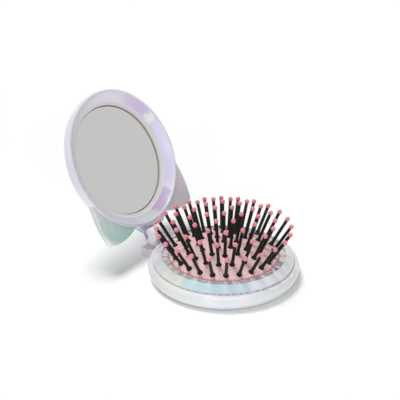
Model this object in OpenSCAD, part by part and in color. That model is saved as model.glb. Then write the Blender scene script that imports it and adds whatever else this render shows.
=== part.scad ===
// Folding hairbrush with mirror: a round compact that opens like a shell.
// The base carries a springy rubber membrane with leaning pins, and the lid carries a mirror.
// Origin: middle of the foot. +Z is up, -Y is the front, and the hinge lies at the back (+Y).
// Everything is drawn with the lid folded back, as the brush stands open on a table.

/* [Base] */
// Diameter of the base at its widest
base_d = 70; // [66:0.5:90]
// Height of the widest line of the base above the table
base_mid_z = 4.6; // [4.2:0.1:4.8]
// Radius of the rounded side of the base below its widest line
base_low_r = 5.6; // [5.55:0.05:7]
// Radius of the rounded side of the base above its widest line
base_high_r = 4.8; // [4.4:0.1:5]
// Thickness of the wall of the base
base_wall = 1.8; // [1.2:0.1:2.4]
// Thickness of the floor of the base
floor_t = 1.4; // [1:0.1:2.2]
// Diameter of the hole in the floor that lets a thumb in
thumb_hole_d = 31; // [24:0.5:38]

/* [Collar] */
// Distance from the widest line of the base in to the collar
rim_land = 2.3; // [2:0.1:3]
// Height of the foot of the collar's band above the table
band_foot_z = 8.2; // [7.9:0.1:8.6]
// Height of the flat land round the collar, above the table
land_z = 7.3; // [7:0.1:7.8]
// Width of the sloped band of the collar
band_w = 3.95; // [3:0.05:5]
// Height of the crest of the collar above the table
crest_z = 10.7; // [10:0.1:12]
// Width of the strip between the crest and the rubber
strip_w = 3.2; // [2.4:0.1:4]
// Depth of the shallow trough in the strip
trough_depth = 0.7; // [0.3:0.1:1]
// Thickness of the collar
collar_t = 1.5; // [1.2:0.1:1.8]
// Depth of the ledge on which the collar sits in the base
collar_seat_h = 1.6; // [1.2:0.1:2]

/* [Membrane] */
// Rise of the rubber dome above its edge
dome_rise = 6.3; // [5:0.1:7.5]
// Thickness of the rubber
rubber_t = 1.2; // [0.8:0.1:1.6]
// Width of the flange that is clamped under the collar
flange_w = 2.4; // [1.6:0.1:3]
// Thickness of the clamped flange
flange_t = 1; // [0.8:0.1:1.4]
// Height of the clamp ring
clamp_h = 1.6; // [1.2:0.1:2.4]
// Wall of the skirt that the clamp ring snaps into
skirt_t = 1.2; // [1:0.1:1.6]

/* [Pins] */
// Distance from the outermost pins to the edge of the rubber
pin_margin = 2.55; // [2:0.05:4]
// Length of a pin from the rubber to the middle of its tip
pin_l = 14.5; // [10:0.5:17]
// Diameter of a pin
pin_d = 1.55; // [1.2:0.05:1.8]
// Diameter of the foot of a pin
pin_foot_d = 2.7; // [2.2:0.1:3.2]
// Height of the cone at the foot of a pin
pin_foot_h = 1.1; // [0.6:0.1:1.6]
// Diameter of the head that holds a pin behind the rubber
pin_head_d = 2.6; // [2.2:0.1:3]
// Thickness of that head
pin_head_t = 0.5; // [0.4:0.1:0.8]
// Diameter of the round tip
tip_d = 2.2; // [1.8:0.1:2.6]
// Outward lean that each ring adds, in degrees
lean_step = 8.2; // [5:0.1:9]
// Turn of the whole pattern, in degrees
pattern_turn = 8; // [0:1:30]

/* [Push plate] */
// Diameter of the plate under the middle of the rubber
plate_d = 18; // [14:0.5:21]
// Thickness of the plate at its edge
plate_t = 1.2; // [0.8:0.1:1.6]

/* [Hinge] */
// Distance of the hinge axis behind the widest line of the base
hinge_back = 4.04; // [3.8:0.02:6]
// Height of the hinge axis above the table
hinge_z = 9.72; // [9.5:0.02:11]
// Angle between the closed and the open lid, in degrees
open_angle = 120; // [100:0.5:125]
// Diameter of the knuckles
knuckle_d = 7.6; // [7:0.1:8]
// Length of the whole barrel
barrel_l = 11.8; // [9:0.1:14]
// Length of the middle knuckle
mid_knuckle_l = 5.8; // [4:0.1:6.4]
// Gap between neighbouring knuckles
knuckle_gap = 0.2; // [0.1:0.05:0.4]
// Diameter of the steel pin
hinge_pin_d = 2; // [1.5:0.1:2.5]
// Radial clearance of the turning knuckles on the pin
hinge_play = 0.05; // [0.02:0.01:0.1]
// Width of the lug under the barrel
lug_w = 15; // [13:0.5:18]
// Height of the top of the lug above the table
lug_top_z = 3.9; // [3:0.1:4.4]

/* [Lid] */
// Diameter of the lid at its widest
lid_d = 67.4; // [66:0.1:88]
// Height of the rim of the closed lid above the table
lid_rim_z = 8.8; // [8.8:0.1:9.6]
// Radius of the rounded side of the lid
lid_round_r = 6.5; // [6.1:0.1:7]
// Thickness of the back of the lid
lid_back_t = 1.3; // [1:0.1:1.6]
// Width of the rim that shows round the bezel
lid_rim_w = 0.95; // [0.7:0.05:1.2]

/* [Ears] */
// Angle at which the outer edge of an ear leaves the lid, in degrees
ear_root_angle = 22; // [16:1:28]
// Distance of the tip of an ear from the middle of the lid, sideways
ear_tip_x = 31; // [28:0.5:33]
// Distance of the tip of an ear from the middle of the lid, towards the hinge
ear_tip_y = 34.4; // [33:0.1:37]
// Radius of the rounded tip
ear_tip_r = 3.2; // [2:0.1:4]
// Setback of the front of the ears from the rim
ear_setback = 0.7; // [0.4:0.1:1.4]
// Thickness of the ears
ear_t = 3; // [2.4:0.1:4]
// Bulge of the outer edge of an ear
ear_bulge = 1; // [0:0.1:1.4]
// Bulge of the inner edge of an ear
ear_inner_bulge = 1.4; // [0:0.1:2]
// Half width of the neck where the ears leave it
neck_root_w = 11; // [10:0.1:13]
// Half width of the neck at the hinge
neck_end_w = 7; // [6.2:0.1:9]

/* [Bezel and mirror] */
// Width of the hollowed band of the bezel
bezel_band_w = 4.3; // [3.4:0.1:5]
// Depth of the band from the rim to its inner edge
bezel_band_depth = 3.7; // [3.2:0.1:4.2]
// Sag of the hollowed band
bezel_sag = 0.35; // [0.1:0.05:0.6]
// Thickness of the bezel
bezel_t = 1.3; // [1:0.1:1.5]
// Height of the outer wall of the bezel
bezel_side_h = 3.6; // [2.8:0.1:4]
// Diameter of the mirror
mirror_d = 52.8; // [46:0.1:53]
// Thickness of the mirror
mirror_t = 1.2; // [0.8:0.1:1.8]
// Depth of the mirror below the rim
mirror_depth = 5.2; // [4.8:0.1:5.4]
// Thickness of the adhesive pad behind the mirror
tape_t = 0.5; // [0.3:0.1:0.8]

/* [Fits] */
// Radial gap between parts that slip into each other
slip_gap = 0.1; // [0.05:0.01:0.15]
// Gap round the mirror in its pocket
mirror_gap = 0.25; // [0.15:0.05:0.4]
// Gap between the open lid and its stop
stop_gap = 0.08; // [0.05:0.01:0.15]
// Gap round the turning knuckles
turn_gap = 0.3; // [0.25:0.05:0.4]
// Squeeze of the steel pin in the middle knuckle, on the radius
pin_squeeze = 0.02; // [0:0.01:0.04]

/* [Hidden] */

$fn = 96;
eps = 0.01; // overlap that keeps unions sound
over = 1; // how far a cutting shape runs past what it cuts

// Base, from the outside in
base_r = base_d / 2;
collar_r = base_r - rim_land;
crest_r = collar_r - band_w;
membrane_r = crest_r - strip_w;
collar_seat_z = band_foot_z - collar_seat_h;
collar_ledge_w = 1.2;
base_floor_r = base_r - base_low_r + sqrt(pow(base_low_r, 2) - pow(base_mid_z - floor_t, 2));
base_cavity_r = min(collar_r - collar_ledge_w, base_floor_r - base_wall);

// Collar
collar_out_r = collar_r - slip_gap;
collar_foot_w = 1.4; // width of the edge that rests on the ledge
strip_slope_w = 0.45; // run of the sloped sides of the trough
collar_edge_drop = 0.25; // how far the edge next to the rubber lies below the crest

// Membrane and what clamps it
dome_r = (membrane_r * membrane_r + dome_rise * dome_rise) / (2 * dome_rise);
dome_mid_z = crest_z + dome_rise - dome_r;
collar_hole_r = membrane_r + slip_gap;
collar_under_z = crest_z - trough_depth - collar_t;
flange_r = membrane_r + flange_w;
skirt_r = flange_r + slip_gap;
flange_under_z = collar_under_z - flange_t;
clamp_under_z = flange_under_z - clamp_h;
membrane_in_r = membrane_r - rubber_t;
snap_w = 0.35; // how far the snap edge of the skirt reaches under the clamp ring
snap_h = 0.7;

// Pins: one in the middle and four rings round it, each ring with six more than the last
pin_rings = 4;
pins_added = 6;
pin_pitch = (membrane_r - pin_margin) / pin_rings;
pin_embed = 0.3; // depth of the pin's foot in the rubber

// Push plate
glue_t = 0.05;
head_play = 0.25; // room round the heads of the pins above the plate
plate_edge_z = dome_mid_z + sqrt(pow(dome_r - rubber_t, 2) - pow(plate_d / 2, 2)) - plate_t;

// Hinge
hinge_y = base_r + hinge_back;
knuckle_r = knuckle_d / 2;
hinge_pin_inset = 0.2; // how far the steel pin ends inside the barrel
barrel_end_t = 0.9; // closed end of the barrel, on the left
lug_root = 3.4; // how far the lug reaches into the wall of the base
web_root = 2.2; // how far the web of the middle knuckle does
seat_depth = 0.4; // depth of the seat in the lug's top, below the knuckles
stop_start = 2.2; // along the open neck, from the axis to the stop's face
stop_l = 2.6; // length of that face
stop_lip = 1.5; // thickness of the stop behind it

// Lid, drawn closed and then folded back about the hinge
lid_r = lid_d / 2;
mirror_z = lid_rim_z + mirror_depth;
lid_hollow_z = mirror_z + mirror_t + tape_t;
lid_top_z = lid_hollow_z + lid_back_t;
lid_round_x = lid_r - lid_round_r;
lid_round_z = lid_top_z - lid_round_r;
lid_rim_r = lid_round_x + sqrt(pow(lid_round_r, 2) - pow(lid_round_z - lid_rim_z, 2));
lid_hollow_r = lid_rim_r - lid_rim_w;

// Bezel
bezel_r = lid_hollow_r - slip_gap;
bezel_recess = 0.2; // how far the bezel lies behind the rim
bezel_rim_z = lid_rim_z + bezel_recess;
bezel_side_t = 0.9;
bezel_in_r = bezel_r - bezel_band_w;
bezel_in_z = lid_rim_z + bezel_band_depth;
pocket_r = mirror_d / 2 + mirror_gap;
lip_w = 0.5; // chamfer round the mirror's pocket
lip_h = 0.4;
land_drop = 0.25; // slope of the flat land between the band and that chamfer
tape_inset = 2;
band_steps = 10;

// Ears and neck
ear_z = lid_rim_z + ear_setback;
ear_sink = 0.4; // how far the ears and the neck run into the side of the lid
neck_back_z = ear_z + ear_t;
neck_setback = 3.1; // from the hinge axis to the end of the flat neck
neck_end_y = hinge_y - neck_setback;

// A point at a radius and an angle
function at(r, a) = [r * cos(a), r * sin(a)];

// Points along a flat arc from p to q that bulges to the right by sag
function arc_points(p, q, sag, n) = [
    for (i = [0 : n])
        let (t = i / n, d = q - p, l = norm(d), out = [d[1], -d[0]] / l)
            p + d * t + out * (4 * sag * t * (1 - t))
];

// Height of the rubber at a distance from the middle
function dome_z(r) = dome_mid_z + sqrt(dome_r * dome_r - r * r);

module fold_back() {
    translate([0, hinge_y, hinge_z]) rotate([-open_angle, 0, 0])
        translate([0, -hinge_y, -hinge_z]) children();
}

// A bar along X, centred, with its outline in the Y-Z plane
module along_x(length) {
    rotate([90, 0, 90]) linear_extrude(length, center = true) children();
}

module hinge_rod(r, length) {
    translate([0, hinge_y, hinge_z]) rotate([0, 90, 0]) cylinder(r = r, h = length, center = true);
}

// ---- Base ----

// Half of the outline of the base: two arcs that meet at its widest line
module base_outline() {
    intersection() {
        union() {
            translate([base_r - base_low_r, base_mid_z]) circle(base_low_r);
            square([base_r - base_low_r, base_mid_z]);
        }
        square([base_r + 1, base_mid_z]);
    }
    intersection() {
        union() {
            translate([base_r - base_high_r, base_mid_z]) circle(base_high_r);
            translate([0, base_mid_z]) square([base_r - base_high_r, base_high_r]);
        }
        translate([0, base_mid_z - eps]) square([base_r + 1, base_high_r]);
    }
}

module base_bowl() {
    rotate_extrude() difference() {
        base_outline();
        translate([0, -over]) square([thumb_hole_d / 2, crest_z]);
        translate([0, floor_t]) square([base_cavity_r, crest_z]);
        translate([0, collar_seat_z]) square([collar_r, crest_z]);
        translate([0, land_z]) square([base_r + over, crest_z]);
    }
}

// Four corners of the stop behind the axis, on whose face the open lid comes to rest
function stop_corners() =
    let (reach = neck_back_z - hinge_z + stop_gap,
         out = [sin(open_angle), cos(open_angle)],
         along = [-cos(open_angle), sin(open_angle)],
         low = [hinge_y, hinge_z] + out * reach + along * stop_start,
         high = low + along * stop_l)
    [low + out * stop_lip, high + out * stop_lip, high, low];

// The lug under the barrel, with the web that carries the middle knuckle and the stop
module hinge_lug() {
    lug_front_y = base_r - lug_root;
    lug_back_y = hinge_y + knuckle_r;
    seat_r = hinge_z - lug_top_z + seat_depth;
    difference() {
        translate([-lug_w / 2, lug_front_y, 0]) cube([lug_w, lug_back_y - lug_front_y, lug_top_z]);
        hinge_rod(seat_r, lug_w + over);
    }
    along_x(mid_knuckle_l) polygon(concat(
        [[base_r - web_root, 0], [lug_back_y, 0]], stop_corners(), [[hinge_y, hinge_z]]
    ));
    hinge_rod(knuckle_r, mid_knuckle_l);
}

// Room for the turning knuckles beside the middle one
module knuckle_clearance() {
    ring_l = (barrel_l - mid_knuckle_l) / 2 + turn_gap;
    for (side = [-1, 1])
        translate([side * (mid_knuckle_l + ring_l) / 2, 0, 0])
            hinge_rod(knuckle_r + turn_gap, ring_l);
}

module base_shell() {
    color([0.93, 0.94, 0.96]) difference() {
        union() {
            base_bowl();
            hinge_lug();
        }
        translate([0, 0, floor_t]) cylinder(r = base_cavity_r, h = crest_z);
        translate([0, 0, collar_seat_z]) cylinder(r = collar_r, h = crest_z);
        knuckle_clearance();
        hinge_rod(hinge_pin_d / 2 - pin_squeeze, barrel_l + over);
    }
}

// Height of the sloped band of the collar at a distance from the middle
function band_z(r) =
    band_foot_z + (crest_z - band_foot_z) * (collar_out_r - r) / (collar_out_r - crest_r);

module base_collar() {
    trough_z = crest_z - trough_depth;
    skirt_end_z = clamp_under_z - slip_gap - snap_h;
    core_in_r = skirt_r + skirt_t;
    core_out_r = collar_out_r - collar_foot_w;
    color([0.80, 0.86, 0.90]) rotate_extrude() difference() {
        polygon([
            [collar_out_r, collar_seat_z],
            [collar_out_r, band_foot_z],
            [crest_r, crest_z],
            [crest_r - strip_slope_w, trough_z],
            [collar_hole_r + strip_slope_w, trough_z],
            [collar_hole_r, crest_z - collar_edge_drop],
            [collar_hole_r, collar_under_z],
            [skirt_r, collar_under_z],
            [skirt_r, clamp_under_z - slip_gap],
            [skirt_r - snap_w, clamp_under_z - slip_gap],
            [skirt_r - snap_w, skirt_end_z],
            [core_in_r, skirt_end_z],
            [core_in_r, collar_seat_z],
        ]);
        polygon([
            [core_in_r, collar_seat_z - over],
            [core_out_r, collar_seat_z - over],
            [core_out_r, band_z(core_out_r) - collar_t],
            [core_in_r, band_z(core_in_r) - collar_t],
        ]);
    }
}

module clamp_ring() {
    color([0.88, 0.88, 0.90]) rotate_extrude() translate([membrane_in_r, clamp_under_z])
        square([skirt_r - slip_gap - membrane_in_r, clamp_h - eps]);
}

// ---- Membrane, pins and push plate ----

module bristle_membrane() {
    color([0.87, 0.73, 0.73]) difference() {
        rotate_extrude() union() {
            intersection() {
                difference() {
                    translate([0, dome_mid_z]) circle(dome_r, $fn = 360);
                    translate([0, dome_mid_z]) circle(dome_r - rubber_t, $fn = 360);
                }
                translate([0, crest_z - rubber_t]) square([membrane_r, dome_rise + 2 * rubber_t]);
            }
            translate([membrane_in_r, flange_under_z])
                square([rubber_t, crest_z - flange_under_z]);
            translate([membrane_in_r, flange_under_z])
                square([flange_r - membrane_in_r, flange_t - eps]);
        }
        for (ring = [0 : pin_rings]) each_pin(ring)
            cylinder(d = pin_d, h = 4 * rubber_t, center = true, $fn = 24);
    }
}

// Stands its children on the rubber at every pin of one ring, leaning outwards
module each_pin(ring) {
    count = ring == 0 ? 1 : pins_added * ring;
    r = ring * pin_pitch;
    for (i = [0 : count - 1]) rotate([0, 0, pattern_turn + i * 360 / count])
        translate([r, 0, dome_z(r)]) rotate([0, ring * lean_step, 0]) children();
}

module pin_stem() {
    head_z = -(rubber_t + pin_head_t);
    translate([0, 0, head_z]) cylinder(d = pin_d, h = pin_l - head_z, $fn = 24);
    translate([0, 0, head_z]) cylinder(d = pin_head_d, h = pin_head_t, $fn = 24);
    translate([0, 0, -pin_embed]) cylinder(d = pin_foot_d, h = pin_embed, $fn = 24);
    cylinder(d1 = pin_foot_d, d2 = pin_d, h = pin_foot_h, $fn = 24);
}

module pin_tip() {
    translate([0, 0, pin_l]) difference() {
        sphere(d = tip_d, $fn = 32);
        translate([0, 0, -tip_d]) cylinder(d = pin_d, h = tip_d, $fn = 24);
    }
}

module pins(ring) {
    color([0.12, 0.10, 0.10]) each_pin(ring) pin_stem();
}

module tips(ring) {
    color([0.92, 0.58, 0.62]) each_pin(ring) pin_tip();
}

// The plate follows the rubber from below, with a pocket for the head of each pin above it
module push_plate() {
    pocket_r = pin_head_d / 2 + head_play;
    pocket_l = rubber_t + pin_head_t + head_play;
    color([0.85, 0.85, 0.88]) difference() {
        intersection() {
            translate([0, 0, plate_edge_z]) cylinder(d = plate_d, h = dome_rise);
            translate([0, 0, dome_mid_z]) sphere(dome_r - rubber_t - glue_t, $fn = 360);
        }
        for (ring = [0 : 1]) each_pin(ring)
            cylinder(r = pocket_r, h = 2 * pocket_l, center = true, $fn = 32);
    }
}

module hinge_pin() {
    left_inset = barrel_end_t + slip_gap;
    color([0.75, 0.76, 0.78]) translate([(left_inset - hinge_pin_inset) / 2, 0, 0])
        hinge_rod(hinge_pin_d / 2, barrel_l - left_inset - hinge_pin_inset);
}

// ---- Lid ----

// Half of a round outline with one rounded corner, from the rim plane up
module lid_outline(corner_r, bottom_z) {
    intersection() {
        union() {
            translate([lid_round_x, lid_round_z]) circle(corner_r);
            translate([0, bottom_z])
                square([lid_round_x, lid_round_z + corner_r - bottom_z]);
        }
        translate([0, bottom_z]) square([lid_r + over, lid_top_z]);
    }
}

// Half of the outline of the lid's hollow, made smaller all round by a gap
module lid_hollow(gap) {
    hollow_r = lid_hollow_r - gap;
    intersection() {
        union() {
            lid_outline(lid_round_r - lid_back_t - gap, lid_rim_z - over);
            translate([0, lid_rim_z - over])
                square([hollow_r, lid_round_z - lid_rim_z + over]);
        }
        translate([0, lid_rim_z - over]) square([hollow_r, lid_top_z]);
    }
}

module lid_bowl() {
    rotate_extrude() difference() {
        lid_outline(lid_round_r, lid_rim_z);
        lid_hollow(0);
    }
}

// One ear: a long outer edge, a rounded tip and a short inner edge
module ear_outline() {
    sunk_r = lid_hollow_r + ear_sink;
    outer_root = at(lid_r - ear_sink, ear_root_angle);
    tip_mid = [ear_tip_x - ear_tip_r, ear_tip_y - ear_tip_r];
    inner_root = [neck_root_w, sqrt(pow(lid_r - ear_sink, 2) - pow(neck_root_w, 2))];
    root_turn = atan2(inner_root[1], inner_root[0]);
    polygon(concat(
        [for (i = [0 : 6]) at(sunk_r, root_turn + (ear_root_angle + 4 - root_turn) * i / 6)],
        arc_points(outer_root, tip_mid + at(ear_tip_r, 2), ear_bulge, 12),
        [for (a = [12 : 10 : 82]) tip_mid + at(ear_tip_r, a)],
        arc_points(tip_mid + at(ear_tip_r, 92), inner_root, ear_inner_bulge, 10)
    ));
}

module ears() {
    for (side = [0, 1]) mirror([side, 0, 0])
        translate([0, 0, ear_z]) linear_extrude(ear_t) ear_outline();
}

// The neck between the ears and the turning knuckles, open in the middle for the fixed one
module neck() {
    gap_l = mid_knuckle_l + 2 * knuckle_gap;
    root_w = neck_root_w + ear_sink;
    root_y = sqrt(pow(lid_hollow_r + ear_sink, 2) - pow(root_w, 2));
    difference() {
        union() {
            translate([0, 0, ear_z]) linear_extrude(ear_t) difference() {
                polygon([
                    [-root_w, root_y], [root_w, root_y],
                    [neck_end_w, neck_end_y], [-neck_end_w, neck_end_y],
                ]);
                circle(lid_hollow_r + ear_sink);
            }
            hinge_rod(knuckle_r, barrel_l);
            along_x(barrel_l) polygon([
                [neck_end_y - over, ear_z + over],
                [hinge_y, hinge_z],
                [hinge_y, hinge_z] + at(knuckle_r, 60),
                [hinge_y - over, neck_back_z],
                [neck_end_y - over, neck_back_z],
            ]);
        }
        hinge_rod(knuckle_r + turn_gap, gap_l);
        along_x(gap_l) translate([neck_end_y, hinge_z - knuckle_r - over])
            square([neck_setback + knuckle_r + over, 2 * (knuckle_r + over)]);
        translate([barrel_end_t + over / 2, 0, 0])
            hinge_rod(hinge_pin_d / 2 + hinge_play, barrel_l + over);
    }
}

module lid_shell() {
    color([0.92, 0.91, 0.95]) fold_back() union() {
        lid_bowl();
        ears();
        neck();
    }
}

// Height of the face of the bezel at a distance from the middle: the band, and the land inside it
function bezel_face(r) =
    let (t = min((bezel_r - r) / bezel_band_w, 1))
    bezel_rim_z + (bezel_in_z - bezel_rim_z) * t + 4 * bezel_sag * t * (1 - t)
        + (r < bezel_in_r ? land_drop : 0);

// Half of the section of the bezel, before it is trimmed to the hollow of the lid
module bezel_section() {
    land_z = bezel_in_z + land_drop;
    edge_r = min(pocket_r, bezel_in_r - 2 * lip_w);
    side_in_r = bezel_r - bezel_side_t;
    wall_z = bezel_face(pocket_r) + lip_h;
    band_r = [for (i = [0 : band_steps]) bezel_r - bezel_band_w * i / band_steps];
    polygon(concat(
        [for (r = band_r) [r, bezel_face(r) + bezel_t]],
        [for (i = [band_steps : -1 : 0]) [band_r[i], bezel_face(band_r[i])]]
    ));
    polygon([
        [bezel_in_r, bezel_in_z],
        [bezel_in_r + lip_w, bezel_face(bezel_in_r + lip_w) + bezel_t / 2],
        [edge_r + bezel_t, land_z + bezel_t],
        [edge_r, land_z + lip_h],
        [edge_r + lip_w, land_z],
    ]);
    translate([pocket_r, wall_z]) square([bezel_t, lid_top_z - wall_z]);
    polygon([
        [bezel_r, bezel_rim_z + bezel_t / 2],
        [bezel_r, bezel_rim_z + bezel_side_h],
        [side_in_r, bezel_rim_z + bezel_side_h],
        [side_in_r, bezel_face(side_in_r) + bezel_t / 2],
    ]);
}

module lid_bezel() {
    color([0.84, 0.82, 0.93]) fold_back() rotate_extrude() intersection() {
        difference() {
            bezel_section();
            translate([0, mirror_z - slip_gap]) square([pocket_r - eps, lid_top_z]);
        }
        lid_hollow(slip_gap);
    }
}

module mirror_glass() {
    color([0.77, 0.77, 0.76]) fold_back()
        translate([0, 0, mirror_z]) cylinder(d = mirror_d, h = mirror_t, $fn = 180);
}

module mirror_tape() {
    color([0.92, 0.92, 0.90]) fold_back()
        translate([0, 0, mirror_z + mirror_t])
            cylinder(r = mirror_d / 2 - tape_inset, h = tape_t, $fn = 180);
}

base_shell();
base_collar();
clamp_ring();
bristle_membrane();
pins(0);  // pin_middle
pins(1);  // pins_ring_1
pins(2);  // pins_ring_2
pins(3);  // pins_ring_3
pins(4);  // pins_ring_4
tips(0);  // tip_middle
tips(1);  // tips_ring_1
tips(2);  // tips_ring_2
tips(3);  // tips_ring_3
tips(4);  // tips_ring_4
push_plate();
hinge_pin();
lid_shell();
lid_bezel();
mirror_glass();
mirror_tape();
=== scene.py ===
import math

import bmesh
import bpy
from mathutils import Matrix, Vector


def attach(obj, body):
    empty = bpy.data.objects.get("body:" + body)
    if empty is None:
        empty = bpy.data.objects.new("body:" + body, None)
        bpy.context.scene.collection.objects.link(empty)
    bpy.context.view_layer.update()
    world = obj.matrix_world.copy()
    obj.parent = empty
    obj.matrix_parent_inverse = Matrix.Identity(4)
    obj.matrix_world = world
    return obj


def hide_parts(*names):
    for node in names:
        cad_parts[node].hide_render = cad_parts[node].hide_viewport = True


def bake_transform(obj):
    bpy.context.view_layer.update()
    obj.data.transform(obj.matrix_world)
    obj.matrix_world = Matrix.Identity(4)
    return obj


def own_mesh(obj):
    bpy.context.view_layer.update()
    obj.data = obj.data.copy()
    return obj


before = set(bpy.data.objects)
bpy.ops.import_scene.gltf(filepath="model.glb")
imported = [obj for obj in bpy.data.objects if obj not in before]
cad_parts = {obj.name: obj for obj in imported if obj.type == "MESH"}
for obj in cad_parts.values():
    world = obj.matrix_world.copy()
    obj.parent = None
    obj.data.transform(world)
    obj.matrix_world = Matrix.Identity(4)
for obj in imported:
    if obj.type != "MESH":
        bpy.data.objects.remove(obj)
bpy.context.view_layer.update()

MM = 0.001

# Sizes of the pieces, in millimetres and degrees, with the lid closed
HINGE_Y, HINGE_Z = 39.04, 9.72
OPEN_ANGLE = 120
KNUCKLE_R = 3.8
CREST_Z, MEMBRANE_R, DOME_RISE = 10.7, 25.55, 6.3
DOME_R = (MEMBRANE_R ** 2 + DOME_RISE ** 2) / (2 * DOME_RISE)
PIN_PITCH, PIN_L, LEAN_STEP, PATTERN_TURN = 5.75, 14.5, 8.2, 8
TIP_R = 1.1
LAND_Z, COLLAR_R = 7.3, 32.6
LUG_W, LUG_TOP_Z, LUG_BACK_Y = 15.0, 3.9, 42.84
MIDDLE_KNUCKLE_X, INNER_X, OUTER_X = 2.9, 3.1, 5.9
BORE_R, STOP_REACH = 1.05, 2.86
LID_RIM_Z, LID_TOP_Z, LID_BACK_T, LID_HOLLOW_R = 8.8, 17.0, 1.3, 32.52
LID_ROUND_R, LID_ROUND_MID = 6.5, (27.2, 10.5)
EAR_LOW, EAR_HIGH, EAR_ANGLE, EAR_TIP_R = 9.5, 12.5, 22, 3.2
SUNK_R, ROOT_R = 32.8, 33.3
BEZEL_R, BEZEL_Z, BEZEL_W, BEZEL_RISE, BEZEL_SAG, BEZEL_T = 32.42, 9.0, 4.3, 3.5, 0.35, 1.3
MIRROR_R, MIRROR_Z, MIRROR_T, POCKET_R = 26.4, 14.0, 1.2, 26.65

# The lid is shaped closed, as it lies on the base, and then folded back about the hinge
FOLD_BACK = (
    Matrix.Translation((0, HINGE_Y, HINGE_Z))
    @ Matrix.Rotation(math.radians(-OPEN_ANGLE), 4, "X")
    @ Matrix.Translation((0, -HINGE_Y, -HINGE_Z))
)


# ---- Modelling ----

def finish_piece(bm, name, body, material, node=None, folded=False, smooth_under=40):
    """Turns a bmesh in millimetres into a piece with its place in its mesh."""
    bmesh.ops.remove_doubles(bm, verts=bm.verts, dist=0.002)
    bmesh.ops.recalc_face_normals(bm, faces=bm.faces)
    if folded:
        bmesh.ops.transform(bm, matrix=FOLD_BACK, verts=bm.verts)
    bmesh.ops.scale(bm, vec=(MM, MM, MM), verts=bm.verts)
    for face in bm.faces:
        face.smooth = True
    for edge in bm.edges:
        if len(edge.link_faces) == 2:
            edge.smooth = edge.calc_face_angle(0) < math.radians(smooth_under)
    mesh = bpy.data.meshes.new(name)
    bm.to_mesh(mesh)
    bm.free()
    piece = bpy.data.objects.new(name, mesh)
    bpy.context.scene.collection.objects.link(piece)
    piece.data.materials.append(material)
    if body:
        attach(piece, body)
    if node:
        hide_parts(node)
    return piece


def soften(piece, width, segments=3, angle=30):
    """Rounds the sharp edges of a moulded piece."""
    rounding = piece.modifiers.new("edge_round", "BEVEL")
    rounding.width = width * MM
    rounding.segments = segments
    rounding.limit_method = "ANGLE"
    rounding.angle_limit = math.radians(angle)
    rounding.harden_normals = True
    return piece


def arc(centre, radius, start, end, steps):
    """Outline points along an arc, with its angles in degrees."""
    turn = [math.radians(start + (end - start) * i / steps) for i in range(steps + 1)]
    return [(centre[0] + radius * math.cos(a), centre[1] + radius * math.sin(a)) for a in turn]


def turned(outline, steps=160, closed=True):
    """A round piece: the outline of (radius, height) points, spun about Z."""
    bm = bmesh.new()
    verts = [bm.verts.new((r, 0, z)) for r, z in outline]
    pairs = zip(verts, verts[1:] + verts[:1]) if closed else zip(verts, verts[1:])
    edges = [bm.edges.new(pair) for pair in pairs]
    bmesh.ops.spin(
        bm, geom=verts + edges, axis=(0, 0, 1), cent=(0, 0, 0),
        angle=2 * math.pi, steps=steps, use_merge=True,
    )
    return bm


def slab(outline, low, high):
    """A flat plate: an outline in X and Y, pushed up from low to high."""
    bm = bmesh.new()
    face = bm.faces.new([bm.verts.new((x, y, low)) for x, y in outline])
    raised = bmesh.ops.extrude_face_region(bm, geom=[face])["geom"]
    tops = [v for v in raised if isinstance(v, bmesh.types.BMVert)]
    bmesh.ops.translate(bm, vec=(0, 0, high - low), verts=tops)
    return bm


def bar(outline, left, right):
    """A bar along X with its section in Y and Z."""
    bm = slab([(-z, y) for y, z in outline], left, right)
    bmesh.ops.rotate(bm, cent=(0, 0, 0), matrix=Matrix.Rotation(math.radians(90), 3, "Y"),
                     verts=bm.verts)
    return bm


def knuckle(left, right, pin_r=BORE_R, end_t=0.0, chamfer=0.3):
    """One barrel of the hinge, along X, with softened ends. The bore for the steel pin goes
    right through, or stops short of a closed left end."""
    outside = [(KNUCKLE_R - chamfer, left), (KNUCKLE_R, left + chamfer),
               (KNUCKLE_R, right - chamfer), (KNUCKLE_R - chamfer, right), (pin_r, right)]
    if end_t:
        outline = [(0, left)] + outside + [(pin_r, left + end_t), (0, left + end_t)]
    else:
        outline = [(pin_r, left)] + outside
    bm = turned(outline, 64, closed=not end_t)
    bmesh.ops.rotate(bm, cent=(0, 0, 0), matrix=Matrix.Rotation(math.radians(90), 3, "Y"),
                     verts=bm.verts)
    bmesh.ops.translate(bm, vec=(0, HINGE_Y, HINGE_Z), verts=bm.verts)
    return bm


def joined(first, *rest):
    """Puts several shapes into one mesh."""
    for other in rest:
        mesh = bpy.data.meshes.new("part")
        other.to_mesh(mesh)
        other.free()
        first.from_mesh(mesh)
        bpy.data.meshes.remove(mesh)
    return first


# ---- Materials ----

def new_material(name):
    material = bpy.data.materials.new(name)
    material.use_nodes = True
    nodes = material.node_tree.nodes
    return material, nodes, material.node_tree.links, nodes["Principled BSDF"]


def tint(red, green, blue):
    """A colour as it looks on screen, from 0 to 255, in Blender's linear values."""
    return tuple(v / 12.92 if v <= 0.04045 else ((v + 0.055) / 1.055) ** 2.4
                 for v in (red / 255, green / 255, blue / 255))


def add_socket(group, name, direction, kind, value=None):
    socket = group.interface.new_socket(name=name, in_out=direction, socket_type=kind)
    if value is not None:
        socket.default_value = value
    return socket


def calculate(nodes, links, operation, first, second=None):
    """A Math node on one socket and a second socket or number."""
    node = nodes.new("ShaderNodeMath")
    node.operation = operation
    links.new(first, node.inputs[0])
    if isinstance(second, (int, float)):
        node.inputs[1].default_value = second
    elif second is not None:
        links.new(second, node.inputs[1])
    return node.outputs[0]


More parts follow.
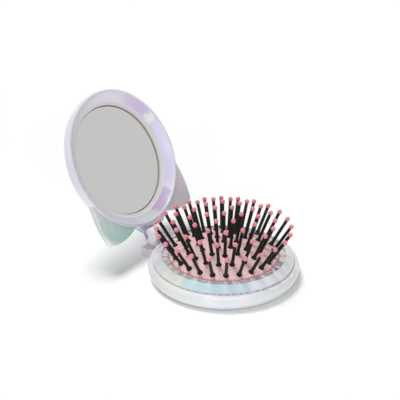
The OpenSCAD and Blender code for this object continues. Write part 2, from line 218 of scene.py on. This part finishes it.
def fade(nodes, links, value, low, high):
    """A mask that rises from 0 at low to 1 at high."""
    node = nodes.new("ShaderNodeMapRange")
    links.new(value, node.inputs["Value"])
    node.inputs["From Min"].default_value = low
    node.inputs["From Max"].default_value = high
    return node.outputs["Result"]


def mixed(nodes, links, mask, first, second):
    """Two colours, mixed by a mask or a number. A colour is a socket or a tuple."""
    node = nodes.new("ShaderNodeMix")
    node.data_type = "RGBA"
    if isinstance(mask, (int, float)):
        node.inputs["Factor"].default_value = mask
    else:
        links.new(mask, node.inputs["Factor"])
    for name, colour in (("A", first), ("B", second)):
        if isinstance(colour, tuple):
            node.inputs[name].default_value = (*colour, 1)
        else:
            links.new(colour, node.inputs[name])
    return node.outputs["Result"]


def hues(nodes, links, value, stops, full=1.0):
    """A colour ramp whose stops are (place, screen colour), with places from 0 to full."""
    node = nodes.new("ShaderNodeValToRGB")
    ramp = node.color_ramp
    ends = (ramp.elements[0], ramp.elements[-1])
    for element, (place, colour) in zip(ends, (stops[0], stops[-1])):
        element.position = place / full
        element.color = (*tint(*colour), 1)
    for place, colour in stops[1:-1]:
        ramp.elements.new(place / full).color = (*tint(*colour), 1)
    links.new(value, node.inputs[0])
    return node.outputs["Color"]


def ring_place_group():
    """Where a point lies on a round piece: its turn about Z, from 0 to 1, shifted a little from
    crease to crease of the film, and its radius and height in millimetres."""
    group = bpy.data.node_groups.new("ring_place", "ShaderNodeTree")
    add_socket(group, "Vector", "INPUT", "NodeSocketVector")
    add_socket(group, "Crease", "INPUT", "NodeSocketFloat", 0.02)
    add_socket(group, "Crease Scale", "INPUT", "NodeSocketFloat", 300.0)
    for name in ("Turn", "Radius", "Height"):
        add_socket(group, name, "OUTPUT", "NodeSocketFloat")
    nodes, links = group.nodes, group.links
    given = nodes.new("NodeGroupInput")
    result = nodes.new("NodeGroupOutput")
    parts = nodes.new("ShaderNodeSeparateXYZ")
    links.new(given.outputs["Vector"], parts.inputs[0])
    angle = calculate(nodes, links, "ARCTAN2", parts.outputs["Y"], parts.outputs["X"])
    share = calculate(nodes, links, "DIVIDE", angle, 2 * math.pi)
    creases = nodes.new("ShaderNodeTexVoronoi")
    links.new(given.outputs["Vector"], creases.inputs["Vector"])
    links.new(given.outputs["Crease Scale"], creases.inputs["Scale"])
    tones = nodes.new("ShaderNodeSeparateColor")
    links.new(creases.outputs["Color"], tones.inputs[0])
    centred = calculate(nodes, links, "SUBTRACT", tones.outputs["Red"], 0.5)
    shift = calculate(nodes, links, "MULTIPLY", centred, given.outputs["Crease"])
    turn = calculate(nodes, links, "FRACT", calculate(nodes, links, "ADD", share, shift))
    links.new(turn, result.inputs["Turn"])
    across = calculate(nodes, links, "POWER", parts.outputs["X"], 2.0)
    along_y = calculate(nodes, links, "POWER", parts.outputs["Y"], 2.0)
    radius = calculate(nodes, links, "SQRT", calculate(nodes, links, "ADD", across, along_y))
    links.new(calculate(nodes, links, "MULTIPLY", radius, 1000.0), result.inputs["Radius"])
    links.new(calculate(nodes, links, "MULTIPLY", parts.outputs["Z"], 1000.0),
              result.inputs["Height"])
    return group


def painted_reflection_dashes_group():
    """Painted reflections: short bright dashes along a ring, uneven in width, where steep walls
    mirror the room.
    """
    group = bpy.data.node_groups.new("painted_reflection_dashes", "ShaderNodeTree")
    add_socket(group, "Turn", "INPUT", "NodeSocketFloat")
    add_socket(group, "Count", "INPUT", "NodeSocketFloat", 60.0)
    add_socket(group, "Mask", "OUTPUT", "NodeSocketFloat")
    nodes, links = group.nodes, group.links
    given = nodes.new("NodeGroupInput")
    result = nodes.new("NodeGroupOutput")
    place = calculate(nodes, links, "MULTIPLY", given.outputs["Turn"], given.outputs["Count"])
    uneven = nodes.new("ShaderNodeTexNoise")
    uneven.noise_dimensions = "1D"
    uneven.inputs["Scale"].default_value = 0.7
    links.new(place, uneven.inputs["W"])
    lead = calculate(nodes, links, "MULTIPLY", uneven.outputs["Fac"], 1.2)
    phase = calculate(nodes, links, "FRACT", calculate(nodes, links, "ADD", place, lead))
    distance = calculate(nodes, links, "ABSOLUTE", calculate(nodes, links, "SUBTRACT", phase, 0.5))
    mask = fade(nodes, links, distance, 0.28, 0.17)
    links.new(mask, result.inputs["Mask"])
    return group


def film_cloud_group():
    """The slow drift of a pearly film over a broad face, from 0 to 1."""
    group = bpy.data.node_groups.new("film_cloud", "ShaderNodeTree")
    add_socket(group, "Vector", "INPUT", "NodeSocketVector")
    add_socket(group, "Scale", "INPUT", "NodeSocketFloat", 22.0)
    add_socket(group, "Value", "OUTPUT", "NodeSocketFloat")
    nodes, links = group.nodes, group.links
    given = nodes.new("NodeGroupInput")
    result = nodes.new("NodeGroupOutput")
    drift = nodes.new("ShaderNodeTexNoise")
    drift.inputs["Detail"].default_value = 3
    drift.inputs["Distortion"].default_value = 1.2
    links.new(given.outputs["Vector"], drift.inputs["Vector"])
    links.new(given.outputs["Scale"], drift.inputs["Scale"])
    links.new(fade(nodes, links, drift.outputs["Fac"], 0.3, 0.7), result.inputs["Value"])
    return group


RING_PLACE = ring_place_group()
PAINTED_REFLECTION_DASHES = painted_reflection_dashes_group()
FILM_CLOUD = film_cloud_group()
CLOUD_HUES = [(0, (222, 214, 234)), (0.3, (232, 232, 238)), (0.55, (205, 224, 230)),
              (0.8, (222, 234, 226)), (1, (232, 222, 228))]
# The colour of the painted reflection dashes
PAINTED_REFLECTION_COLOUR = tint(226, 212, 206)


def place_group(nodes, links, tree, vector=None, **values):
    """Puts a node group in a material and sets its values."""
    group = nodes.new("ShaderNodeGroup")
    group.node_tree = tree
    if vector is not None:
        links.new(vector, group.inputs["Vector"])
    for name, value in values.items():
        socket = group.inputs[name.replace("_", " ")]
        if isinstance(value, (int, float)):
            socket.default_value = value
        else:
            links.new(value, socket)
    return group


def pearl_place(nodes, links, folded):
    """Object coordinates, turned back to the closed lid for a piece of the lid."""
    coordinates = nodes.new("ShaderNodeTexCoord").outputs["Object"]
    if not folded:
        return coordinates
    unfold = nodes.new("ShaderNodeMapping")
    hinge = Vector((0, HINGE_Y * MM, HINGE_Z * MM))
    back = Matrix.Rotation(math.radians(OPEN_ANGLE), 3, "X")
    unfold.inputs["Rotation"].default_value = (math.radians(OPEN_ANGLE), 0, 0)
    unfold.inputs["Location"].default_value = hinge - back @ hinge
    links.new(coordinates, unfold.inputs["Vector"])
    return unfold.outputs["Vector"]


def pearl_plastic(name, stops, folded=False, crease=0.01, crease_scale=300.0, cloud=0.25,
                  broad_above=None, zones=(), zone_edge=0.06, roughness=0.24):
    """Glossy plastic with a pearly film under a clear coat. The hues follow the turn round the
    piece, and a broad face gets the slow drift instead. Zones change the colour from one radius
    on: (radius, inwards, colour or stops, number of painted reflection dashes). The change is
    twice zone_edge wide."""
    material, nodes, links, shader = new_material(name)
    vector = pearl_place(nodes, links, folded)
    place = place_group(nodes, links, RING_PLACE, vector, Crease=crease,
                        Crease_Scale=crease_scale)
    colour = hues(nodes, links, place.outputs["Turn"], stops, 360)
    drift = place_group(nodes, links, FILM_CLOUD, vector)
    clouds = hues(nodes, links, drift.outputs["Value"], CLOUD_HUES)
    colour = mixed(nodes, links, cloud, colour, clouds)
    if broad_above is not None:
        broad = fade(nodes, links, place.outputs["Height"], *broad_above)
        colour = mixed(nodes, links, broad, colour, clouds)
    for radius, inwards, zone, count in zones:
        reach = -zone_edge if inwards else zone_edge
        step = (radius - reach, radius + reach)
        mask = fade(nodes, links, place.outputs["Radius"], *step)
        if isinstance(zone, list):
            zone = hues(nodes, links, place.outputs["Turn"], zone, 360)
        else:
            zone = tint(*zone)
        # Painted reflection dashes, as steep walls would mirror the room
        if count:
            dashes = place_group(nodes, links, PAINTED_REFLECTION_DASHES, Turn=place.outputs["Turn"],
                                 Count=count)
            zone = mixed(nodes, links, dashes.outputs["Mask"], zone, PAINTED_REFLECTION_COLOUR)
        colour = mixed(nodes, links, mask, colour, zone)
    links.new(colour, shader.inputs["Base Color"])
    shader.inputs["Roughness"].default_value = roughness
    shader.inputs["Coat Weight"].default_value = 0.4
    shader.inputs["Coat Roughness"].default_value = 0.08
    return material


def plain_plastic(name, colour, roughness=0.4, gloss=0.5, grain=0.0):
    """Moulded plastic with a faint unevenness of tone."""
    material, nodes, links, shader = new_material(name)
    place = nodes.new("ShaderNodeTexCoord")
    noise = nodes.new("ShaderNodeTexNoise")
    noise.inputs["Scale"].default_value = 260
    links.new(place.outputs["Object"], noise.inputs["Vector"])
    tone = mixed(nodes, links, noise.outputs["Fac"], tuple(c * 0.9 for c in colour),
                 tuple(min(c * 1.08, 1) for c in colour))
    links.new(tone, shader.inputs["Base Color"])
    shader.inputs["Roughness"].default_value = roughness
    shader.inputs["Specular IOR Level"].default_value = gloss
    if grain:
        bump = nodes.new("ShaderNodeBump")
        bump.inputs["Strength"].default_value = grain
        bump.inputs["Distance"].default_value = 0.0001
        links.new(noise.outputs["Fac"], bump.inputs["Height"])
        links.new(bump.outputs["Normal"], shader.inputs["Normal"])
    return material


def woven_rubber(name, colour, groove, lip):
    """Dusty pink rubber with a fine woven grain of two crossed sets of lines, and a darker lip
    where it meets the collar."""
    material, nodes, links, shader = new_material(name)
    coordinates = nodes.new("ShaderNodeTexCoord").outputs["Object"]
    place = place_group(nodes, links, RING_PLACE, coordinates)
    lines = []
    for turn, scale in ((21.6, 230.0), (-64.4, 200.0)):
        mapping = nodes.new("ShaderNodeMapping")
        mapping.inputs["Rotation"].default_value = (0, 0, math.radians(turn))
        links.new(coordinates, mapping.inputs["Vector"])
        wave = nodes.new("ShaderNodeTexWave")
        wave.wave_type = "BANDS"
        wave.bands_direction = "X"
        wave.inputs["Scale"].default_value = scale
        wave.inputs["Distortion"].default_value = 0.5
        wave.inputs["Detail"].default_value = 1
        links.new(mapping.outputs["Vector"], wave.inputs["Vector"])
        lines.append(wave.outputs["Fac"])
    weave = calculate(nodes, links, "MAXIMUM", lines[0],
                      calculate(nodes, links, "MULTIPLY", lines[1], 0.8))
    tone = mixed(nodes, links, weave, groove, colour)
    edge = fade(nodes, links, place.outputs["Radius"], 24.9, 25.35)
    links.new(mixed(nodes, links, edge, tone, lip), shader.inputs["Base Color"])
    bump = nodes.new("ShaderNodeBump")
    bump.inputs["Strength"].default_value = 0.35
    bump.inputs["Distance"].default_value = 0.0002
    links.new(weave, bump.inputs["Height"])
    links.new(bump.outputs["Normal"], shader.inputs["Normal"])
    shader.inputs["Roughness"].default_value = 0.6
    return material


def bare_metal(name, colour, roughness):
    """Silvered glass or bright steel wire."""
    material, nodes, links, shader = new_material(name)
    shader.inputs["Base Color"].default_value = (*colour, 1)
    shader.inputs["Metallic"].default_value = 1
    shader.inputs["Roughness"].default_value = roughness
    return material


# Turns are seen from above: 0 is the right, 90 the hinge, 216 what faces the camera
shell_pearl = pearl_plastic(
    "shell_pearl",
    [(0, (226, 226, 230)), (90, (222, 216, 226)), (140, (220, 214, 218)), (160, (228, 222, 224)),
     (176, (236, 235, 231)), (192, (239, 242, 245)), (203, (247, 246, 250)),
     (218, (240, 242, 248)), (232, (247, 246, 249)), (246, (238, 242, 243)),
     (264, (236, 238, 238)), (285, (231, 232, 229)), (310, (236, 233, 231)),
     (360, (226, 226, 230))],
    crease=0.02, crease_scale=220, broad_above=(0.4, 0.1),
)
collar_pearl = pearl_plastic(
    "collar_pearl",
    [(0, (206, 203, 206)), (60, (192, 184, 208)), (128, (204, 200, 206)), (146, (212, 210, 210)),
     (164, (218, 217, 211)), (180, (219, 224, 217)), (181, (194, 224, 223)),
     (196, (196, 224, 229)), (214, (200, 222, 231)), (234, (200, 219, 229)),
     (235, (225, 230, 236)), (262, (229, 231, 237)), (285, (229, 227, 230)),
     (310, (231, 225, 224)), (360, (206, 203, 206))],
    crease=0.022, crease_scale=260, cloud=0.08,
    zones=(
        # The strip next to the rubber, with painted reflection dashes
        (28.62, True, [
            (0, (168, 152, 192)), (95, (166, 148, 192)), (125, (184, 168, 198)),
            (140, (168, 176, 166)), (165, (172, 182, 172)), (185, (166, 194, 188)),
            (205, (168, 194, 198)), (225, (166, 180, 194)), (250, (164, 168, 188)),
            (290, (160, 154, 196)), (300, (214, 208, 210)), (335, (212, 206, 210)),
            (345, (168, 152, 192)), (360, (168, 152, 192))], 38),
        # The outer wall in the narrow gap to the shell: darker purple-grey, partly film hue and
        # partly painted shade, with painted reflection dashes
        (32.5, False, [
            (0, (176, 168, 196)), (130, (190, 184, 196)), (165, (196, 196, 196)),
            (195, (188, 204, 216)), (222, (184, 180, 208)), (262, (186, 178, 206)),
            (300, (202, 192, 192)), (360, (176, 168, 196))], 66),
    ),
)
LID_HUES = [
    (0, (232, 232, 235)), (60, (226, 222, 232)), (100, (218, 218, 226)), (135, (226, 226, 232)),
    (155, (234, 232, 240)), (180, (228, 223, 235)), (210, (224, 217, 230)),
    (228, (222, 215, 226)), (245, (234, 232, 237)), (270, (238, 237, 240)),
    (320, (240, 240, 242)), (360, (232, 232, 235)),
]
lid_pearl = pearl_plastic("lid_pearl", LID_HUES, folded=True, crease=0.02, crease_scale=200,
                          broad_above=(14.5, 16.6))
bezel_pearl = pearl_plastic(
    "bezel_pearl",
    [(0, (220, 219, 250)), (20, (220, 215, 247)), (34, (218, 210, 240)), (42, (220, 211, 232)),
     (45, (226, 221, 234)), (49, (226, 221, 234)), (50, (203, 186, 220)), (62, (194, 172, 208)),
     (76, (186, 160, 196)), (78, (202, 205, 208)), (100, (200, 206, 212)),
     (110, (200, 194, 208)), (135, (216, 212, 225)), (165, (228, 224, 237)),
     (200, (234, 229, 242)), (270, (234, 230, 242)), (300, (236, 229, 244)),
     (310, (224, 210, 238)), (324, (218, 194, 234)), (333, (214, 204, 240)),
     # The near-white stops from 335 to 341 are a painted highlight
     (335, (246, 244, 250)), (341, (246, 244, 250)), (343, (220, 214, 249)),
     (360, (220, 219, 250))],
    folded=True, crease=0.012, crease_scale=330, cloud=0.06,
    zones=(
        (28.5, True, (238, 238, 240), 0),
        (28.15, True, (226, 222, 228), 0),
        # Inside 26.85 the pocket wall by the mirror is painted brownish grey: painted shade in the
        # gap
        (26.85, True, (196, 188, 182), 0),
        # The near-white outer edge is a painted edge highlight
        (32.2, False, (236, 236, 240), 0),
    ),
)
# The far ear: greyer, with darker mauve hues that are partly its film and partly painted shade,
# since that ear lies in shade
far_ear_shaded_pearl = pearl_plastic(
    "far_ear_shaded_pearl",
    [(0, (216, 213, 216)), (25, (214, 211, 214)), (38, (208, 201, 207)), (48, (202, 192, 204)),
     (56, (206, 198, 208)), (90, (226, 222, 232)), (360, (216, 213, 216))],
    folded=True, cloud=0.1,
)
near_ear_pearl = pearl_plastic(
    "near_ear_pearl",
    [(0, (228, 224, 234)), (108, (206, 222, 222)), (115, (172, 216, 208)),
     (124, (176, 217, 206)), (134, (186, 218, 208)), (141, (206, 219, 218)),
     (148, (224, 219, 230)), (158, (232, 228, 238)), (360, (228, 224, 234))],
    folded=True, crease=0.03, crease_scale=420, cloud=0.1,
    zones=((43.0, False, (234, 240, 228), 0),), zone_edge=1.2,
)
neck_pearl = pearl_plastic(
    "neck_pearl",
    [(0, (232, 230, 236)), (84, (226, 222, 230)), (94, (212, 204, 222)), (98, (172, 160, 208)),
     (102, (166, 178, 214)), (105, (186, 204, 222)), (107, (232, 232, 238)),
     (360, (232, 230, 236))],
    folded=True, crease=0.01, crease_scale=400, cloud=0.15,
)
knuckle_pearl = pearl_plastic(
    "knuckle_pearl", [(0, (238, 237, 234)), (360, (238, 237, 234))], folded=True, cloud=0.1)
lug_pearl = pearl_plastic(
    "lug_pearl", [(0, (239, 227, 233)), (360, (239, 227, 233))], cloud=0.1)
white_plastic = plain_plastic("white_plastic", (0.72, 0.72, 0.75), 0.45, grain=0.2)
pink_rubber = woven_rubber("pink_rubber", tint(240, 205, 204), tint(210, 168, 168),
                           tint(216, 158, 164))
black_nylon = plain_plastic("black_nylon", (0.010, 0.008, 0.008), 0.5, gloss=0.25)
pink_tip = plain_plastic("pink_tip", tint(236, 140, 152), 0.4, gloss=0.4)
silvered = bare_metal("silvered_glass", (0.55, 0.55, 0.54), 0.02)
bright_steel = bare_metal("bright_steel", (0.62, 0.63, 0.65), 0.25)
white_foam = plain_plastic("white_foam", (0.78, 0.78, 0.75), 0.9, grain=0.4)


# ---- Base ----

# The rounded tub, from the thumb hole out to the foot, up the side to the flat land and inside
base_tub = turned(
    [(15.5, 0), (32.2, 0)]
    + arc((29.4, 4.6), 5.6, -55.2, 0, 8)
    + arc((30.2, 4.6), 4.8, 4, 32, 6)
    + [(34.2, LAND_Z - 0.05), (34.1, LAND_Z), (COLLAR_R + 0.1, LAND_Z), (COLLAR_R + 0.1, 6.6),
       (31.5, 6.6), (31.5, 1.4), (15.5, 1.4)],
)
finish_piece(base_tub, "base_tub", "base", shell_pearl, "base_shell")

# The lug behind it, hollowed on top for the turning knuckles, with the web and the stop
seat = arc((HINGE_Y, HINGE_Z), 6.22, 290.5, 249.5, 10)
lug = bar(
    [(31.6, 0), (LUG_BACK_Y, 0), (LUG_BACK_Y, LUG_TOP_Z)] + seat + [(31.6, LUG_TOP_Z)],
    -LUG_W / 2, LUG_W / 2)
out = (math.sin(math.radians(OPEN_ANGLE)), math.cos(math.radians(OPEN_ANGLE)))
along = (-out[1], out[0])


def stop_point(reach, run):
    """A point off the hinge's axis, reach towards the open neck's back and run along it."""
    return (HINGE_Y + out[0] * reach + along[0] * run, HINGE_Z + out[1] * reach + along[1] * run)


web = bar([
    (32.8, 0.2), (42.7, 0.2), stop_point(STOP_REACH + 1.5, 2.2), stop_point(STOP_REACH + 1.5, 4.8),
    stop_point(STOP_REACH, 4.8), stop_point(STOP_REACH, 2.2), (HINGE_Y, HINGE_Z),
], -MIDDLE_KNUCKLE_X, MIDDLE_KNUCKLE_X)
soften(finish_piece(joined(lug, web), "hinge_lug", "base", lug_pearl,
                    "base_shell"), 0.25)
finish_piece(knuckle(-MIDDLE_KNUCKLE_X, MIDDLE_KNUCKLE_X, pin_r=1.0), "middle_knuckle", "base",
             lug_pearl, "base_shell")

# The collar: its outer wall, the sloped band up to the crest, and the strip next to the rubber
collar = turned([
    (COLLAR_R, 6.6), (COLLAR_R, 8.12), (32.52, 8.22), (28.9, 10.6), (28.75, CREST_Z),
    (28.6, 10.62),
    (28.3, 10.0), (26.1, 10.0), (25.75, 10.38), (25.65, 10.35), (25.65, 8.5), (28.05, 8.5),
    (28.05, 5.8), (27.7, 5.8), (27.7, 5.1), (29.25, 5.1), (29.25, 8.875), (31.2, 7.61),
    (31.2, 6.6),
])
finish_piece(collar, "collar", "base", collar_pearl, "base_collar",
             smooth_under=25)


# ---- Membrane ----

# One sheet: the dome, and the edge that turns down and out under the collar
edge_turn = math.degrees(math.asin(MEMBRANE_R / DOME_R))
dome_mid = CREST_Z + DOME_RISE - DOME_R
sheet = turned(
    arc((0, dome_mid), DOME_R, 90, 90 - edge_turn, 28) + [(25.55, 9.6), (25.55, 8.45)],
    128, closed=False)
membrane = finish_piece(sheet, "membrane", None, pink_rubber)
wall = membrane.modifiers.new("rubber_wall", "SOLIDIFY")
wall.thickness = 1.2 * MM
wall.offset = -1
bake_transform(membrane)
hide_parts("bristle_membrane")


# ---- Pins ----

def pin_shape():
    """A stem with a flared foot, standing on the origin."""
    return turned([
        (0, -0.6), (1.3, -0.6), (1.35, 0.15), (1.12, 0.5), (0.9, 0.9), (0.8, 1.4),
        (0.76, 3.0), (0.74, PIN_L - 0.2), (0, PIN_L - 0.2),
    ], 20, closed=False)


def tip_shape():
    """The ball at the end of a pin."""
    bm = bmesh.new()
    bmesh.ops.create_uvsphere(bm, u_segments=20, v_segments=12, radius=TIP_R)
    bmesh.ops.scale(bm, vec=(1, 1, 1.06), verts=bm.verts)
    bmesh.ops.translate(bm, vec=(0, 0, PIN_L), verts=bm.verts)
    return bm


def place_pin(bm, name, ring, turn, material, node):
    """Stands a pin or its tip on the rubber, leaning outwards."""
    radius = ring * PIN_PITCH
    foot_z = dome_mid + math.sqrt(DOME_R ** 2 - radius ** 2)
    lean = math.radians(ring * LEAN_STEP)
    stand = (
        Matrix.Rotation(math.radians(turn), 4, "Z")
        @ Matrix.Translation((radius, 0, foot_z))
        @ Matrix.Rotation(lean, 4, "Y")
    )
    bmesh.ops.transform(bm, matrix=stand, verts=bm.verts)
    piece = finish_piece(bm, name, "base", material, node)
    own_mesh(piece)
    return piece


# The names of each ring's pins and tips in model.glb
NODE_NAMES = {0: ("pin_middle", "tip_middle")}
NODE_NAMES.update({ring: (f"pins_ring_{ring}", f"tips_ring_{ring}") for ring in range(1, 5)})

for ring in range(5):
    count = max(1, 6 * ring)
    pin_node, tip_node = NODE_NAMES[ring]
    for i in range(count):
        turn = PATTERN_TURN + 360 * i / count
        place_pin(pin_shape(), f"pin_{ring}_{i + 1}", ring, turn, black_nylon,
                  pin_node)
        place_pin(tip_shape(), f"tip_{ring}_{i + 1}", ring, turn, pink_tip,
                  tip_node)


# ---- Lid ----

# The round dish, from its rim round the outside and back along the hollow
dish = turned(
    [(LID_HOLLOW_R, LID_RIM_Z + 0.1), (LID_HOLLOW_R + 0.1, LID_RIM_Z), (33.28, LID_RIM_Z)]
    + arc(LID_ROUND_MID, LID_ROUND_R, -13.5, 90, 20)
    + [(0, LID_TOP_Z), (0, LID_TOP_Z - LID_BACK_T)]
    + arc(LID_ROUND_MID, LID_ROUND_R - LID_BACK_T, 90, 0, 10)
    + [(LID_HOLLOW_R, LID_ROUND_MID[1])])
finish_piece(dish, "lid_dish", "lid", lid_pearl, "lid_shell", folded=True)


def flat_arc(p, q, sag, steps):
    """Outline points from p to q that bulge to the right by sag."""
    dx, dy = q[0] - p[0], q[1] - p[1]
    length = math.hypot(dx, dy)
    return [
        (p[0] + dx * t + dy / length * 4 * sag * t * (1 - t),
         p[1] + dy * t - dx / length * 4 * sag * t * (1 - t))
        for t in [i / steps for i in range(steps + 1)]
    ]


root_out = (ROOT_R * math.cos(math.radians(EAR_ANGLE)), ROOT_R * math.sin(math.radians(EAR_ANGLE)))
root_in = (11.0, math.sqrt(ROOT_R ** 2 - 11.0 ** 2))
tip_mid = (27.8, 31.2)
ear_line = (
    arc((0, 0), SUNK_R, math.degrees(math.atan2(root_in[1], root_in[0])), EAR_ANGLE + 4, 8)
    + flat_arc(root_out, (tip_mid[0] + 3.198, tip_mid[1] + 0.112), 1.0, 12)
    + arc(tip_mid, EAR_TIP_R, 10, 84, 8)
    + flat_arc((tip_mid[0] - 0.112, tip_mid[1] + 3.198), root_in, 1.4, 10)
)
near_ear = slab([(-x, y) for x, y in reversed(ear_line)], EAR_LOW, EAR_HIGH)
soften(finish_piece(near_ear, "near_ear", "lid", near_ear_pearl, "lid_shell",
                    folded=True), 0.4, 4)
far_ear = slab(ear_line, EAR_LOW, EAR_HIGH)
soften(finish_piece(far_ear, "far_ear", "lid", far_ear_shaded_pearl, "lid_shell",
                    folded=True), 0.4, 4)

# The neck with its two turning knuckles, open in the middle for the fixed one
neck_plate = slab(
    arc((0, 0), SUNK_R, 110.5, 69.5, 12)
    + [(7, 35.94), (INNER_X, 35.94), (INNER_X, 34.9), (-INNER_X, 34.9), (-INNER_X, 35.94),
       (-7, 35.94)],
    EAR_LOW, EAR_HIGH)
arms = []
for left, right in ((-OUTER_X, -INNER_X), (INNER_X, OUTER_X)):
    arms.append(bar([
        (34.94, 10.5), (HINGE_Y, HINGE_Z),
        (HINGE_Y + KNUCKLE_R * 0.5, HINGE_Z + KNUCKLE_R * 0.866),
        (HINGE_Y - 1, EAR_HIGH), (34.94, EAR_HIGH),
    ], left, right))
soften(finish_piece(joined(neck_plate, *arms), "lid_neck", "lid", neck_pearl,
                    "lid_shell", folded=True), 0.3)
finish_piece(knuckle(-OUTER_X, -INNER_X, end_t=0.9), "near_knuckle", "lid",
             knuckle_pearl, "lid_shell", folded=True)
finish_piece(knuckle(INNER_X, OUTER_X), "far_knuckle", "lid", knuckle_pearl,
             "lid_shell", folded=True)


# ---- Bezel and mirror ----

def bezel_face(share):
    """The sloped face of the bezel, slightly hollow, from its outer edge (0) inwards (1)."""
    sag = 4 * BEZEL_SAG * share * (1 - share)
    return (BEZEL_R - BEZEL_W * share, BEZEL_Z + BEZEL_RISE * share + sag)


band = [bezel_face(i / 10) for i in range(11)]
bezel = turned(
    band
    + [(27.15, 12.75), (POCKET_R, 13.15), (POCKET_R, 15.6), (27.95, 15.6), (27.95, 14.05),
       (28.6, 13.5)]
    + [(r, z + BEZEL_T) for r, z in reversed(band[3:9])]
    + [(31.2, 11.65), (31.2, 12.6), (31.85, 12.6), (32.2, 11.5), (32.3, 10.5), (BEZEL_R, 10.4)])
finish_piece(bezel, "bezel", "lid", bezel_pearl, "lid_bezel", folded=True,
             smooth_under=20)
glass_back = MIRROR_Z + MIRROR_T
glass = turned([
    (0, MIRROR_Z), (MIRROR_R - 0.15, MIRROR_Z), (MIRROR_R, MIRROR_Z + 0.15),
    (MIRROR_R, glass_back - 0.15), (MIRROR_R - 0.15, glass_back), (0, glass_back),
], closed=False)
finish_piece(glass, "mirror", "lid", silvered, "mirror_glass", folded=True,
             smooth_under=20)

# The inner pieces keep their shape
for node, material in (("clamp_ring", white_plastic), ("push_plate", white_plastic),
                       ("hinge_pin", bright_steel), ("mirror_tape", white_foam)):
    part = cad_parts[node]
    part.data.materials.clear()
    part.data.materials.append(material)


# ---- Room, lamps and camera ----

def seen_by_eye(nodes, links):
    """1 where the camera, a gloss or a clear piece looks, and 0 for soft light."""
    path = nodes.new("ShaderNodeLightPath")
    first = calculate(nodes, links, "MAXIMUM", path.outputs["Is Camera Ray"],
                      path.outputs["Is Glossy Ray"])
    return calculate(nodes, links, "MAXIMUM", first, path.outputs["Is Transmission Ray"])


def pale_floor(name):
    """White paper, a little lifted for the camera and in reflections. It keeps the shadow."""
    material, nodes, links, shader = new_material(name)
    shader.inputs["Base Color"].default_value = (0.96, 0.96, 0.96, 1)
    shader.inputs["Roughness"].default_value = 1.0
    shader.inputs["Specular IOR Level"].default_value = 0.0
    shader.inputs["Emission Color"].default_value = (1, 1, 1, 1)
    links.new(calculate(nodes, links, "MULTIPLY", seen_by_eye(nodes, links), 0.06),
              shader.inputs["Emission Strength"])
    return material


paper = bmesh.new()
bmesh.ops.create_grid(paper, x_segments=4, y_segments=4, size=3)
bmesh.ops.translate(paper, vec=(0, 0, -0.0002), verts=paper.verts)
floor_mesh = bpy.data.meshes.new("floor")
paper.to_mesh(floor_mesh)
paper.free()
floor = bpy.data.objects.new("floor", floor_mesh)
bpy.context.scene.collection.objects.link(floor)
floor.data.materials.append(pale_floor("white_floor"))

world = bpy.data.worlds.new("studio")
bpy.context.scene.world = world
world.use_nodes = True
tree = world.node_tree
level = tree.nodes.new("ShaderNodeMapRange")
level.inputs["To Min"].default_value = 0.27
level.inputs["To Max"].default_value = 1.0
tree.links.new(seen_by_eye(tree.nodes, tree.links), level.inputs["Value"])
tree.links.new(level.outputs["Result"], tree.nodes["Background"].inputs["Strength"])
tree.nodes["Background"].inputs["Color"].default_value = (1, 1, 1, 1)


def soft_sun(name, direction, strength, spread):
    """A broad, even lamp that shines along a direction."""
    lamp = bpy.data.lights.new(name, "SUN")
    lamp.energy = strength
    lamp.angle = math.radians(spread)
    holder = bpy.data.objects.new(name, lamp)
    holder.rotation_euler = Vector(direction).to_track_quat("-Z", "Y").to_euler()
    bpy.context.scene.collection.objects.link(holder)


soft_sun("top_softbox", (-0.05, -0.36, -1), 2.05, 26)
soft_sun("front_softbox", (0.65, 0.55, -0.2), 1.35, 60)

camera_data = bpy.data.cameras.new("camera")
camera_data.sensor_width = 36
camera_data.lens = 128.8
camera_data.clip_start = 0.01
camera = bpy.data.objects.new("camera", camera_data)
camera.location = (-0.4745, -0.3365, 0.3249)
look = Vector((0.0234, 0.0309, 0.0200)) - camera.location
camera.rotation_euler = look.to_track_quat("-Z", "Y").to_euler()
bpy.context.scene.collection.objects.link(camera)
bpy.context.scene.camera = camera
bpy.context.scene.view_settings.view_transform = "Standard"
